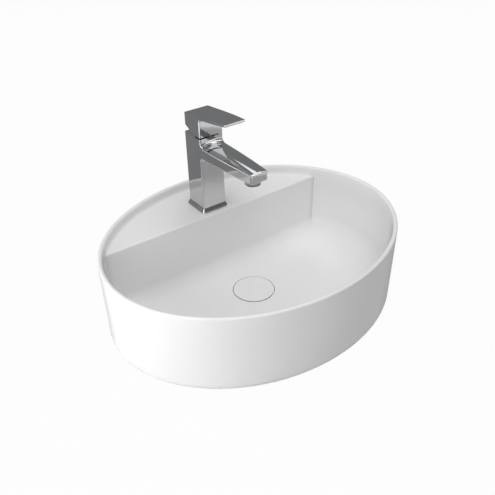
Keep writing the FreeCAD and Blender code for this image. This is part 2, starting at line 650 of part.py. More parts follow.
def tap_base_gasket():
    half = COLUMN_HALF - COLUMN_EDGE_RADIUS
    pad = box(-half, half, TAP_Y - half, TAP_Y + half, DECK_Z, COLUMN_Z)
    return pad.cut(post(TAP_HOLE_DIAMETER / 2, DECK_Z - PAST, COLUMN_Z + PAST, 0, TAP_Y))


def fixing_stud():
    return post(STUD_DIAMETER / 2, FIXING_NUT_TOP_Z - STUD_TAIL, STUD_TOP_Z, 0, STUD_Y)


def horseshoe(z0, z1):
    """Round plate, open to the rear for the two supply hoses, with a hole for the stud."""
    radius = FIXING_PLATE_RADIUS
    half = FIXING_SLOT_WIDTH / 2
    low, high = z0 - PAST, z1 + PAST
    plate = post(radius, z0, z1, 0, TAP_Y)
    plate = plate.cut(box(-half, half, TAP_Y - FIXING_SLOT_END, TAP_Y + radius + PAST, low, high))
    return plate.cut(post(STUD_DIAMETER / 2 + SLIP_FIT, low, high, 0, STUD_Y))


def fixing_gasket():
    return horseshoe(FIXING_PLATE_TOP_Z, DECK_UNDER_Z)


def fixing_plate():
    return horseshoe(FIXING_NUT_TOP_Z, FIXING_PLATE_TOP_Z)


def fixing_nut():
    low_z = FIXING_NUT_TOP_Z - FIXING_NUT_HEIGHT
    nut = hexagon(FIXING_NUT_ACROSS_FLATS, low_z, FIXING_NUT_TOP_Z, 0, STUD_Y)
    hole = STUD_DIAMETER / 2 + SLIP_FIT
    return nut.cut(post(hole, low_z - PAST, FIXING_NUT_TOP_Z + PAST, 0, STUD_Y))


def port_places():
    """Hot, cold and mixed ports of the cartridge, as x and y."""
    return [
        (-PORT_SPREAD / 2, TAP_Y + PORT_SETBACK),
        (PORT_SPREAD / 2, TAP_Y + PORT_SETBACK),
        (0, TAP_Y - OUTLET_PORT_SETBACK),
    ]


def with_ports(shape, z0, z1):
    for x, y in port_places():
        shape = shape.cut(post(PORT_BORE / 2, z0 - PAST, z1 + PAST, x, y))
    return shape


def cartridge_base_seals():
    inner = PORT_BORE / 2 + SLIP_FIT
    rings = []
    for x, y in port_places():
        rings.append(ring(inner + CARTRIDGE_SEAL_WIDTH, inner, CHAMBER_FLOOR_Z, CARTRIDGE_BASE_Z, x, y))
    return Part.makeCompound(rings)


def cartridge_base():
    base = post(CARTRIDGE_DIAMETER / 2, CARTRIDGE_BASE_Z, FIXED_DISC_Z, 0, TAP_Y)
    return with_ports(base, CARTRIDGE_BASE_Z, FIXED_DISC_Z)


def fixed_disc():
    disc = post(FIXED_DISC_DIAMETER / 2, FIXED_DISC_Z, FIXED_DISC_TOP_Z, 0, TAP_Y)
    return with_ports(disc, FIXED_DISC_Z, FIXED_DISC_TOP_Z)


def moving_disc_y():
    return TAP_Y + DISC_STROKE / 2


def moving_disc():
    centre_y = moving_disc_y()
    disc = post(MOVING_DISC_DIAMETER / 2, MOVING_DISC_Z, CARRIER_Z, 0, centre_y)
    mixing_half = PORT_BORE / 2
    hollow_z = MOVING_DISC_Z + DISC_THICKNESS / 2
    radius = MOVING_DISC_DIAMETER / 2 - mixing_half
    hollow = post(radius, MOVING_DISC_Z - PAST, hollow_z, 0, centre_y)
    return disc.cut(hollow)


def disc_carrier():
    centre_y = moving_disc_y()
    top_z = CARRIER_Z + CARRIER_HEIGHT
    carrier = post(MOVING_DISC_DIAMETER / 2, CARRIER_Z, top_z, 0, centre_y)
    pocket_x = STEM_BALL_DIAMETER / 2 + MOVING_GAP
    lean = (top_z - BALL_Z) * math.tan(TILT)
    pocket_y = max(pocket_x, lean + STEM_ARM_DIAMETER / 2 / math.cos(TILT)) + MOVING_GAP
    low, high = CARRIER_Z - PAST, top_z + PAST
    return carrier.cut(box(-pocket_x, pocket_x, TAP_Y - pocket_y, TAP_Y + pocket_y, low, high))


def cartridge_shell():
    outer = CARTRIDGE_DIAMETER / 2
    neck = ROTOR_DIAMETER / 2 + RUNNING_FIT
    return turned(
        [
            (SHELL_BORE_RADIUS, FIXED_DISC_Z),
            (outer, FIXED_DISC_Z),
            (outer, SHELL_TOP_Z),
            (neck, SHELL_TOP_Z),
            (neck, SHELL_CAP_Z),
            (SHELL_BORE_RADIUS, SHELL_CAP_Z),
        ],
        0,
        TAP_Y,
    )


def cartridge_rotor():
    flange_top_z = ROTOR_Z + ROTOR_FLANGE_HEIGHT
    rotor = post(ROTOR_FLANGE_DIAMETER / 2, ROTOR_Z, flange_top_z, 0, TAP_Y)
    rotor = rotor.fuse(post(ROTOR_DIAMETER / 2, ROTOR_Z, ROTOR_TOP_Z, 0, TAP_Y)).removeSplitter()
    # Slot that lets the stem tilt: its top leans to the rear and its arm to the front
    half = STEM_SIDE / 2 + MOVING_GAP
    tilted_half = STEM_SIDE / 2 / math.cos(TILT) + MOVING_GAP
    up = ROTOR_TOP_Z + PAST - PIVOT_Z
    down = PIVOT_Z - ROTOR_Z + PAST
    slot = across(
        [
            (TAP_Y - half, PIVOT_Z + up, 0),
            (TAP_Y + tilted_half + up * math.tan(TILT), PIVOT_Z + up, 0),
            (TAP_Y + tilted_half, PIVOT_Z, 0),
            (TAP_Y + half, PIVOT_Z - PAST, 0),
            (TAP_Y + half, PIVOT_Z - down, 0),
            (TAP_Y - tilted_half - down * math.tan(TILT), PIVOT_Z - down, 0),
            (TAP_Y - tilted_half, PIVOT_Z, 0),
            (TAP_Y - half, PIVOT_Z + PAST, 0),
        ],
        half,
    )
    return rotor.cut(slot).cut(pivot_rod(RUNNING_FIT))


def pivot_rod(allowance):
    length = ROTOR_DIAMETER - 2 * MOVING_GAP + 2 * allowance
    start = V(-length / 2, TAP_Y, PIVOT_Z)
    return Part.makeCylinder(PIVOT_PIN_DIAMETER / 2 + allowance, length, start, V(1, 0, 0))


def stem_pivot_pin():
    return pivot_rod(0)


def lever_stem():
    half = STEM_SIDE / 2
    shoulder_z = PIVOT_Z - half
    bar = box(-half, half, TAP_Y - half, TAP_Y + half, shoulder_z, STEM_TOP_Z)
    arm = post(STEM_ARM_DIAMETER / 2, BALL_Z, shoulder_z + PAST, 0, TAP_Y)
    ball = Part.makeSphere(STEM_BALL_DIAMETER / 2, V(0, TAP_Y, BALL_Z))
    stem = bar.fuse([arm, ball]).removeSplitter()
    return stem.cut(pivot_rod(RUNNING_FIT))


def cartridge_nut():
    """Threaded ring over the cartridge, with a round collar that fills the gap under the lever."""
    inner = ROTOR_DIAMETER / 2 + SLIP_FIT + MOVING_GAP
    thread = CARTRIDGE_NUT_DIAMETER / 2
    collar = CARTRIDGE_COLLAR_DIAMETER / 2
    mouth = CARTRIDGE_MOUTH_DIAMETER / 2
    collar_top_z = HANDLE_Z - MOVING_GAP
    return turned(
        [
            (inner, SHELL_TOP_Z),
            (thread, SHELL_TOP_Z),
            (thread, COLUMN_TOP_Z),
            (collar, COLUMN_TOP_Z),
            (collar, collar_top_z),
            (mouth, collar_top_z),
            (mouth, NUT_TOP_Z),
            (inner, NUT_TOP_Z),
        ],
        0,
        TAP_Y,
    )


def handle_top_z(y):
    """Height of the lever's sloping top at y."""
    share = (HANDLE_REAR_Y - y) / (HANDLE_REAR_Y - HANDLE_TIP_Y)
    return HANDLE_Z + HANDLE_REAR_HEIGHT + HANDLE_TIP_RISE * share


def lever_handle():
    plan = waisted_plan(
        HANDLE_REAR_Y,
        COLUMN_FRONT_Y,
        HANDLE_TIP_Y,
        COLUMN_HALF,
        HANDLE_TIP_WIDTH / 2,
        HANDLE_TIP_RADIUS,
        HANDLE_Z - PAST,
        HANDLE_Z + 2 * COLUMN_SIDE,
    )
    root_under_z = handle_top_z(COLUMN_FRONT_Y) - HANDLE_ROOT_THICKNESS
    tip_under_z = handle_top_z(HANDLE_TIP_Y) - HANDLE_TIP_THICKNESS
    side = across(
        [
            (HANDLE_REAR_Y, HANDLE_Z + HANDLE_HEEL_HEIGHT, 0),
            (HANDLE_REAR_Y, handle_top_z(HANDLE_REAR_Y), 0),
            (HANDLE_TIP_Y, handle_top_z(HANDLE_TIP_Y), 0),
            (HANDLE_TIP_Y, tip_under_z, 0),
            (COLUMN_FRONT_Y, root_under_z, HANDLE_ROOT_FILLET),
            (COLUMN_FRONT_Y, HANDLE_Z, 0),
            (HANDLE_REAR_Y - HANDLE_HEEL_LENGTH, HANDLE_Z, 0),
        ],
        COLUMN_SIDE,
    )
    handle = plan.common(side).removeSplitter().Solids[0]

    def in_front(point):
        below_top = handle_top_z(point.y) - NEAR
        return point.y < COLUMN_FRONT_Y + NEAR and HANDLE_Z + NEAR < point.z < below_top

    handle = handle.makeFillet(HANDLE_FRONT_RADIUS, sharp_edges(handle, in_front))
    edges = sharp_edges(handle, lambda p: p.z > HANDLE_Z + NEAR)
    handle = handle.makeFillet(HANDLE_EDGE_RADIUS, edges)
    socket = STEM_SIDE / 2 + RUNNING_FIT
    low = HANDLE_Z - PAST
    handle = handle.cut(box(-socket, socket, TAP_Y - socket, TAP_Y + socket, low, SOCKET_TOP_Z))
    # Thread of the grub screw from the rear, wider at its mouth for the plug
    for radius, start_y in ((GRUB_DIAMETER / 2, TAP_Y), (PLUG_DIAMETER / 2, PLUG_Y)):
        start = V(0, start_y, GRUB_Z)
        handle = handle.cut(Part.makeCylinder(radius + RUNNING_FIT, COLUMN_SIDE, start, V(0, 1, 0)))
    return handle


def handle_grub_screw():
    return Part.makeCylinder(GRUB_DIAMETER / 2, GRUB_LENGTH, V(0, GRUB_Y, GRUB_Z), V(0, 1, 0))


def handle_plug():
    length = PLUG_LENGTH - MOVING_GAP
    return Part.makeCylinder(PLUG_DIAMETER / 2, length, V(0, PLUG_Y, GRUB_Z), V(0, 1, 0))


def aerator_housing():
    collar = AERATOR_DIAMETER / 2
    thread = AERATOR_THREAD_DIAMETER / 2
    bore = AERATOR_BORE / 2
    ledge = bore - AERATOR_LEDGE
    collar_top_z = SPOUT_OUTLET_Z - MOVING_GAP
    return turned(
        [
            (ledge, AERATOR_Z),
            (collar, AERATOR_Z),
            (collar, collar_top_z),
            (thread, collar_top_z),
            (thread, AERATOR_THREAD_TOP_Z),
            (bore, AERATOR_THREAD_TOP_Z),
            (bore, AERATOR_Z + AERATOR_LEDGE),
            (ledge, AERATOR_Z + AERATOR_LEDGE),
        ],
        0,
        AERATOR_Y,
    )


def aerator_insert():
    low_z = AERATOR_Z + AERATOR_LEDGE
    top_z = low_z + AERATOR_INSERT_HEIGHT
    insert = post(AERATOR_BORE / 2 - SLIP_FIT, low_z, top_z, 0, AERATOR_Y)
    step = (AERATOR_BORE / 2 - AERATOR_LEDGE - AERATOR_HOLE) / AERATOR_HOLE_RINGS
    low, high = low_z - PAST, top_z + PAST
    holes = [post(AERATOR_HOLE / 2, low, high, 0, AERATOR_Y)]
    for circle in range(1, AERATOR_HOLE_RINGS + 1):
        for i in range(6 * circle):
            turn = 2 * math.pi * i / (6 * circle)
            x, y = circle * step * math.cos(turn), circle * step * math.sin(turn)
            holes.append(post(AERATOR_HOLE / 2, low, high, x, AERATOR_Y + y))
    return insert.cut(holes)


def aerator_washer():
    outer = SOCKET_RADIUS - SLIP_FIT
    inner = AERATOR_BORE / 2
    top_z = AERATOR_THREAD_TOP_Z + AERATOR_WASHER_THICKNESS
    return ring(outer, inner, AERATOR_THREAD_TOP_Z, top_z, 0, AERATOR_Y)


PIECES = [
    basin_bowl,
    waste_cover,
    waste_cover_seal,
    waste_plunger,
    waste_spring,
    waste_guide,
    waste_body,
    waste_top_gasket,
    waste_lower_gasket,
    waste_slip_washer,
    waste_back_nut,
    tap_body,
    tap_base_ring,
    tap_base_gasket,
    fixing_stud,
    fixing_gasket,
    fixing_plate,
    fixing_nut,
    cartridge_base_seals,
    cartridge_base,
    fixed_disc,
    moving_disc,
    disc_carrier,
    cartridge_shell,
    cartridge_rotor,
    stem_pivot_pin,
    lever_stem,
    cartridge_nut,
    lever_handle,
    handle_grub_screw,
    handle_plug,
    aerator_housing,
    aerator_insert,
    aerator_washer,
]

os.makedirs("parts", exist_ok=True)
for piece in PIECES:
    piece().exportStep("parts/" + piece.__name__ + ".step")
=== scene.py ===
import math

import bmesh
import bpy
from mathutils import Matrix, Vector


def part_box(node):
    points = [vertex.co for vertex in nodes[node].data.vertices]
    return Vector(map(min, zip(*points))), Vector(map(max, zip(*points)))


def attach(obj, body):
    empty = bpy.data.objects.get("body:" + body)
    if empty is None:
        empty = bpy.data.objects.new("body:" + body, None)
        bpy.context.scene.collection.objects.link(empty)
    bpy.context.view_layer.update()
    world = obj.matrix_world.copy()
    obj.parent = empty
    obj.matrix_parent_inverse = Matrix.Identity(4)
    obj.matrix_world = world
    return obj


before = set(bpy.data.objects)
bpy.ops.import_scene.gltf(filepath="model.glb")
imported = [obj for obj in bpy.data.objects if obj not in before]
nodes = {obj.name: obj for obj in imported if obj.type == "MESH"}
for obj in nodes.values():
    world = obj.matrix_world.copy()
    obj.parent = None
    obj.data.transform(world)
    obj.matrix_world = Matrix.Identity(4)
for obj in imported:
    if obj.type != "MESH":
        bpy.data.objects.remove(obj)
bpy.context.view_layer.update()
scene = bpy.context.scene

# Camera, from the fit to the photograph: degrees, metres, and pixels of its 495 x 495 frame
PHOTO_SIDE = 495
CAMERA_AZIMUTH = -37.525
CAMERA_ELEVATION = 39.126
CAMERA_DISTANCE = 1.08299
CAMERA_ASIDE = 0.01164
CAMERA_RAISED = -0.00986
FOCAL_PIXELS = 632.507
CENTRE_RIGHT_PIXELS = 13.125
CENTRE_DOWN_PIXELS = 56.399
SENSOR_WIDTH = 36.0

# Studio floor and wall, in metres
COUNTER_HOLE_RADIUS = 0.0375
FLOOR_MIDDLE_RADIUS = 0.6
FLOOR_RADIUS = 2.7
SWEEP_RADIUS = 0.4
SWEEP_HEIGHT = 1.25
SWEEP_BENDS = 6
SWEEP_STEPS = 96
FLOOR_COLOUR = (0.5, 0.5, 0.5, 1)
PAPER_WHITE = (1, 1, 1, 1)
DOME_GREY = (0.23, 0.232, 0.236, 1)
BACKGROUND_SHARE = 0.97
WHITE_TO = 2.3
GREY_FROM = 2.9

# Lamps: name, place, the point it faces, width and height in metres, power in watts. Two are close to the
# left wall, and reflections don't show them.
LAMPS = [
    ("key_strip", (-1.55, -0.05, 0.12), (0, 0, 0.08), 1.2, 0.18, 9.7),
    ("left_fill", (-1.55, -0.15, 0.5), (0.1, 0, 0.1), 1.2, 0.3, 2.2),
    ("high_key", (-1.5, -0.75, 0.88), (0, 0, 0.1), 1.5, 0.8, 7.4),
    ("top_softbox", (0.15, -0.4, 2.1), (0.15, -0.4, 0), 2.6, 2.6, 31.0),
    ("rear_softbox", (-1.32, 1.57, 1.24), (0, 0, 0.2), 0.74, 1.0, 2.7),
    ("back_light", (0.986, 1.345, 1.348), (0, 0, 0.24), 0.336, 0.245, 0.31),
    ("front_strip", (0.95, -1.65, 0.36), (0, 0, 0.2), 0.3, 0.55, 0.72),
]
LAMPS_NOT_REFLECTED = ("key_strip", "left_fill")

# Cards that only reflections show: name, middle, the point it faces, width and height in metres, colour.
# The grey one shades the chrome's left faces, and the white ones light its front edges.
CARDS = [
    ("grey_flag", (-0.16, 0.27, 0.16), (-0.16, 0, 0.16), 0.36, 0.24, (0.27, 0.272, 0.276, 1)),
    ("white_card", (1.25, -1.2, 1.55), (0, 0.05, 0.24), 1.6, 1.0, (1.4, 1.4, 1.4, 1)),
    ("low_white_card", (-0.55, -0.25, 0.01), (-0.55, -0.25, 1), 0.5, 0.5, (1.8, 1.8, 1.8, 1)),
]

# Pairs of tones that drift into each other, the scale of the plating's drift, and the scale of the swell
# under a grain, as a share of the grain's own
GLAZE_TONES = ((0.87, 0.87, 0.87), (0.85, 0.85, 0.852))
FIRED_TONES = ((0.78, 0.75, 0.69), (0.72, 0.69, 0.63))
# Painted shade on the drain cover's edge
EDGE_SHADE_TONES = ((0.11, 0.11, 0.11), (0.07, 0.07, 0.07))
PLATE_TONES = ((0.59, 0.592, 0.597), (0.56, 0.562, 0.567))
# Painted shade: the base ring's plating is darker than the tap's
RING_SHADE_TONES = ((0.34, 0.342, 0.346), (0.31, 0.312, 0.316))
# Painted shade: the aerator's plating is darker than the tap's
AERATOR_SHADE_TONES = ((0.5, 0.502, 0.506), (0.46, 0.462, 0.466))
PLATE_SCALE = 30.0
SWELL_SHARE = 0.12

# Painted shade and painted highlights in the finishes, in metres: where each one lies, and its tone
GLANCING_SHADE_TONE = (0.56, 0.56, 0.56, 1)
DECK_WALL_END = 0.2115
CORNER_SHADE_WIDTH = 0.009
CORNER_SHADE_TONE = (0.74, 0.74, 0.74, 1)
EDGE_SHADE_HEIGHT = 0.0024
SHADED_SIDE = (-0.61, -0.79, 0)
CORNER_HIGHLIGHT_TONE = (0.95, 0.95, 0.95, 1)
MOUTH_SHADE_BAND = 0.0034
MOUTH_SHADE_TONE = (0.25, 0.25, 0.25, 1)
BRIGHT_ASIDE = 0.003
GAP_SHADE_ASIDE = 0.008
GAP_SHADE_TONE = (0.015, 0.015, 0.015, 1)

# Axes, screw threads and the aerator's screen, in metres. Crest and end are shares of a thread's pitch.
WASTE_AXIS = (0, 0, 0)
TAP_AXIS = (0, 0.129, 0)
THREAD_STEPS = 36
THREAD_SUNK = 0.0001
THREAD_CLEAR = 0.0002
RIDGE_CREST = 0.42
RIDGE_END = 0.84
WASTE_TAIL_RADIUS = 0.02095
WASTE_TAIL_CHAMFER = 0.0006
WASTE_GROOVE_LOW = -0.0230
WASTE_GROOVE_HIGH = -0.0205
WASTE_THREAD_PITCH = 0.002309
WASTE_THREAD_HEIGHT = 0.0004
STUD_CHAMFER = 0.0004
STUD_THREAD_PITCH = 0.00125
STUD_THREAD_HEIGHT = 0.0003
SCREEN_BAR = 0.00045
SCREEN_PITCH = 0.0013
SCREEN_RADIUS = 0.0083
SCREEN_DEPTH = 0.0009
SCREEN_RECESS = 0.0002
MERGE_DISTANCE = 1e-7


def make_camera():
    turn = math.radians(CAMERA_AZIMUTH)
    rise = math.radians(CAMERA_ELEVATION)
    right = Vector((math.cos(turn), math.sin(turn), 0))
    back = Vector((math.sin(turn) * math.cos(rise), -math.cos(turn) * math.cos(rise), math.sin(rise)))
    up = back.cross(right)
    data = bpy.data.cameras.new("photo_camera")
    data.sensor_width = SENSOR_WIDTH
    data.lens = FOCAL_PIXELS / PHOTO_SIDE * SENSOR_WIDTH
    data.shift_x = -CENTRE_RIGHT_PIXELS / PHOTO_SIDE
    data.shift_y = CENTRE_DOWN_PIXELS / PHOTO_SIDE
    camera = bpy.data.objects.new("photo_camera", data)
    turned = Matrix((right, up, back)).transposed().to_4x4()
    place = back * CAMERA_DISTANCE + right * CAMERA_ASIDE + up * CAMERA_RAISED
    camera.matrix_world = Matrix.Translation(place) @ turned
    scene.collection.objects.link(camera)
    scene.camera = camera


def turn_towards(place, target):
    """The turn that points a lamp or a card at place to the target."""
    return (Vector(target) - Vector(place)).to_track_quat("-Z", "Y")


def new_piece(name, bm, material):
    bmesh.ops.remove_doubles(bm, verts=bm.verts, dist=MERGE_DISTANCE)
    bmesh.ops.recalc_face_normals(bm, faces=bm.faces)
    mesh = bpy.data.meshes.new(name)
    bm.to_mesh(mesh)
    bm.free()
    mesh.materials.append(material)
    piece = bpy.data.objects.new(name, mesh)
    scene.collection.objects.link(piece)
    return piece


def add_node(tree, kind, inputs=None, **settings):
    """A node with its settings, its inputs set to values or linked from other nodes' outputs."""
    node = tree.nodes.new(kind)
    for name, value in settings.items():
        setattr(node, name, value)
    for name, value in (inputs or {}).items():
        if isinstance(value, bpy.types.NodeSocket):
            tree.links.new(value, node.inputs[name])
        else:
            node.inputs[name].default_value = value
    return node


def add_math(tree, operation, *values):
    """The result of one operation on one or two values."""
    return add_node(tree, "ShaderNodeMath", dict(enumerate(values)), operation=operation).outputs[0]


def add_ramp(tree, value, start, full, curve="SMOOTHSTEP"):
    """A mask that rises from 0, where the value is start, to 1, where it is full."""
    inputs = {"Value": value, "From Min": start, "From Max": full}
    return add_node(tree, "ShaderNodeMapRange", inputs, interpolation_type=curve).outputs["Result"]


def add_mix(tree, amount, first, second):
    """The first colour where the amount is 0, the second where it is 1."""
    inputs = {"Fac": amount, "Color1": first, "Color2": second}
    return add_node(tree, "ShaderNodeMixRGB", inputs).outputs["Color"]


def new_group(name, output, output_kind, values):
    """A shader group with a Vector, the given values and one output: its tree, its inputs, its output."""
    tree = bpy.data.node_groups.new(name, "ShaderNodeTree")
    tree.interface.new_socket("Vector", in_out="INPUT", socket_type="NodeSocketVector")
    for label, value in values.items():
        kind = "NodeSocketColor" if isinstance(value, tuple) else "NodeSocketFloat"
        tree.interface.new_socket(label, in_out="INPUT", socket_type=kind).default_value = value
    tree.interface.new_socket(output, in_out="OUTPUT", socket_type=output_kind)
    given = tree.nodes.new("NodeGroupInput").outputs
    result = tree.nodes.new("NodeGroupOutput").inputs[output]
    return tree, given, result


def cloudy_tone_group():
    """Two tones of one colour that drift into each other in soft patches."""
    values = {"Scale": 20.0, "Tone A": (0.8, 0.8, 0.8, 1), "Tone B": (0.7, 0.7, 0.7, 1)}
    tree, given, result = new_group("cloudy_tone", "Color", "NodeSocketColor", values)
    inputs = {"Vector": given["Vector"], "Scale": given["Scale"], "Detail": 4.0}
    noise = add_node(tree, "ShaderNodeTexNoise", inputs)
    mask = add_ramp(tree, noise.outputs["Fac"], start=0.35, full=0.65)
    tree.links.new(add_mix(tree, mask, given["Tone A"], given["Tone B"]), result)
    return tree


def handled_shine_group():
    """Roughness that goes from clean to wiped and touched in wide faint smears."""
    values = {"Scale": 20.0, "Clean": 0.1, "Smeared": 0.2}
    tree, given, result = new_group("handled_shine", "Roughness", "NodeSocketFloat", values)
    stretch = add_node(tree, "ShaderNodeMapping", {"Vector": given["Vector"], "Scale": (1.0, 1.0, 0.45)})
    noise = add_node(
        tree,
        "ShaderNodeTexNoise",
        {"Vector": stretch.outputs["Vector"], "Scale": given["Scale"], "Detail": 6.0, "Distortion": 0.6},
    )
    smear = add_node(
        tree,
        "ShaderNodeMapRange",
        {
            "Value": noise.outputs["Fac"],
            "From Min": 0.4,
            "From Max": 0.7,
            "To Min": given["Clean"],
            "To Max": given["Smeared"],
        },
        interpolation_type="SMOOTHSTEP",
    )
    tree.links.new(smear.outputs["Result"], result)
    return tree


def fine_grain_group():
    """Height of a fine surface grain with a coarser swell under it."""
    values = {"Scale": 500.0, "Swell": 0.5}
    tree, given, result = new_group("fine_grain", "Height", "NodeSocketFloat", values)
    inputs = {"Vector": given["Vector"], "Scale": given["Scale"], "Detail": 3.0}
    grain = add_node(tree, "ShaderNodeTexNoise", inputs)
    wider = add_math(tree, "MULTIPLY", given["Scale"], SWELL_SHARE)
    inputs = {"Vector": given["Vector"], "Scale": wider, "Detail": 1.0}
    swell = add_node(tree, "ShaderNodeTexNoise", inputs)
    weighted = add_math(tree, "MULTIPLY", swell.outputs["Fac"], given["Swell"])
    tree.links.new(add_math(tree, "ADD", grain.outputs["Fac"], weighted), result)
    return tree


def turned_rings_group():
    """Height of the fine tool rings that turning leaves round an upright axis."""
    tree, given, result = new_group("turned_rings", "Height", "NodeSocketFloat", {"Scale": 900.0})
    inputs = {"Vector": given["Vector"], "Scale": given["Scale"], "Distortion": 0.4, "Detail": 2.0}
    across = add_node(tree, "ShaderNodeTexWave", inputs, wave_type="RINGS", rings_direction="Z")
    along = add_node(tree, "ShaderNodeTexWave", inputs, wave_type="BANDS", bands_direction="Z")
    tree.links.new(add_math(tree, "ADD", across.outputs["Fac"], along.outputs["Fac"]), result)
    return tree


CLOUDY_TONE = cloudy_tone_group()
HANDLED_SHINE = handled_shine_group()
FINE_GRAIN = fine_grain_group()
TURNED_RINGS = turned_rings_group()


class Finish:
    """One material: its shader, its coordinates, and the shared effects placed in it."""

    def __init__(self, name, centre=(0, 0, 0), stretch=(1, 1, 1), **settings):
        self.material = bpy.data.materials.new(name)
        self.material.use_nodes = True
        self.tree = self.material.node_tree
        self.shader = self.tree.nodes["Principled BSDF"]
        for label, value in settings.items():
            self.shader.inputs[label.replace("_", " ")].default_value = value
        coordinates = self.tree.nodes.new("ShaderNodeTexCoord").outputs
        self.position = coordinates["Object"]
        self.normal = coordinates["Normal"]
        shift = tuple(-c * s for c, s in zip(centre, stretch))
        inputs = {"Vector": self.position, "Location": shift, "Scale": stretch}
        self.place = self.node("ShaderNodeMapping", inputs).outputs["Vector"]

    def node(self, kind, inputs=None, **settings):
        return add_node(self.tree, kind, inputs, **settings)

    def axes(self, vector):
        return self.node("ShaderNodeSeparateXYZ", {"Vector": vector}).outputs

    def ramp(self, value, start, full, curve="SMOOTHSTEP"):
        return add_ramp(self.tree, value, start, full, curve)

    def product(self, first, second):
        return add_math(self.tree, "MULTIPLY", first, second)

    def without_sign(self, value):
        return add_math(self.tree, "ABSOLUTE", value)

    def mix(self, amount, first, second):
        return add_mix(self.tree, amount, first, second)

    def effect(self, group, **values):
        node = self.tree.nodes.new("ShaderNodeGroup")
        node.node_tree = group
        self.tree.links.new(self.place, node.inputs["Vector"])
        for label, value in values.items():
            node.inputs[label.replace("_", " ")].default_value = value
        return node.outputs[0]

    def cloud(self, first, second, scale):
        return self.effect(CLOUDY_TONE, Scale=scale, Tone_A=(*first, 1), Tone_B=(*second, 1))

    def feed(self, output, socket):
        self.tree.links.new(output, self.shader.inputs[socket])

    def tones(self, first, second, scale):
        self.feed(self.cloud(first, second, scale), "Base Color")

    def shine(self, clean, smeared, scale):
        rough = self.effect(HANDLED_SHINE, Scale=scale, Clean=clean, Smeared=smeared)
        self.feed(rough, "Roughness")

    def relief(self, height, depth, strength):
        bump = self.node("ShaderNodeBump", {"Height": height, "Distance": depth, "Strength": strength})
        self.feed(bump.outputs["Normal"], "Normal")

    def grain(self, scale, swell, depth, strength):
        self.relief(self.effect(FINE_GRAIN, Scale=scale, Swell=swell), depth, strength)

    def rings(self, scale, depth, strength):
        self.relief(self.effect(TURNED_RINGS, Scale=scale), depth, strength)


def basin_glaze():
    """White glaze with painted shade towards a grazing view angle and in the corners at the deck wall's
    ends, bare on faces that look down.
    """
    finish = Finish("white_glaze", IOR=1.5, Specular_IOR_Level=0.2)
    facing = finish.axes(finish.normal)
    aside = finish.without_sign(finish.axes(finish.position)["X"])
    turned_away = finish.node("ShaderNodeLayerWeight", {"Blend": 0.5}).outputs["Facing"]
    glancing_shade = finish.ramp(turned_away, start=0.74, full=1.0)
    # Painted shade: a grey line in the upright corners where the deck's wall meets the bowl's wall
    at_end = finish.ramp(aside, start=DECK_WALL_END - CORNER_SHADE_WIDTH, full=DECK_WALL_END, curve="LINEAR")
    deck_wall = finish.ramp(facing["Y"], start=-0.85, full=-0.97, curve="LINEAR")
    bare = finish.ramp(facing["Z"], start=-0.88, full=-0.97)
    glaze = finish.mix(glancing_shade, finish.cloud(*GLAZE_TONES, scale=7.0), GLANCING_SHADE_TONE)
    glaze = finish.mix(finish.product(at_end, deck_wall), glaze, CORNER_SHADE_TONE)
    fired = finish.cloud(*FIRED_TONES, scale=160.0)
    finish.feed(finish.mix(bare, glaze, fired), "Base Color")
    glazed_rough = finish.effect(HANDLED_SHINE, Scale=5.0, Clean=0.46, Smeared=0.54)
    rough = finish.node("ShaderNodeMapRange", {"Value": bare, "To Min": glazed_rough, "To Max": 0.85})
    finish.feed(rough.outputs["Result"], "Roughness")
    finish.grain(scale=300.0, swell=2.0, depth=0.0002, strength=0.08)
    return finish.material


def cover_glaze():
    """White glaze, with painted shade as a grey line on the front left of its edge."""
    finish = Finish("cover_glaze", IOR=1.5, Specular_IOR_Level=0.2)
    top_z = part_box("waste_cover")[1].z
    height = finish.axes(finish.position)["Z"]
    near_top = finish.ramp(height, start=top_z - EDGE_SHADE_HEIGHT, full=top_z - EDGE_SHADE_HEIGHT / 2)
    upright = finish.ramp(finish.axes(finish.normal)["Z"], start=0.94, full=0.6)
    inputs = {0: finish.normal, 1: SHADED_SIDE}
    turned = finish.node("ShaderNodeVectorMath", inputs, operation="DOT_PRODUCT").outputs["Value"]
    on_side = finish.ramp(turned, start=0.1, full=0.6)
    shaded_edge = finish.product(finish.product(upright, on_side), near_top)
    glaze = finish.cloud(*GLAZE_TONES, scale=24.0)
    edge_shade = finish.cloud(*EDGE_SHADE_TONES, scale=90.0)
    finish.feed(finish.mix(shaded_edge, glaze, edge_shade), "Base Color")
    finish.shine(clean=0.44, smeared=0.54, scale=14.0)
    finish.grain(scale=380.0, swell=1.5, depth=0.0002, strength=0.08)
    return finish.material


def plating(name, clean, smeared):
    """The shine and the grain that the tap's platings share."""
    finish = Finish(name, Metallic=1.0)
    finish.shine(clean, smeared, scale=26.0)
    finish.grain(scale=700.0, swell=2.0, depth=0.00004, strength=0.06)
    return finish


def polished_chrome():
    finish = plating("polished_chrome", clean=0.05, smeared=0.1)
    finish.tones(*PLATE_TONES, scale=PLATE_SCALE)
    return finish.material


def shaded_ring_chrome():
    """Plating of the base ring, with painted shade that makes it darker than the tap's, and a painted
    highlight on its upright corners.
    """
    finish = plating("shaded_ring_chrome", clean=0.05, smeared=0.1)
    facing = finish.axes(finish.normal)
    corner = finish.without_sign(finish.product(facing["X"], facing["Y"]))
    corner_highlight = finish.ramp(corner, start=0.06, full=0.2)
    plate = finish.cloud(*RING_SHADE_TONES, scale=PLATE_SCALE)
    finish.feed(finish.mix(corner_highlight, plate, CORNER_HIGHLIGHT_TONE), "Base Color")
    return finish.material


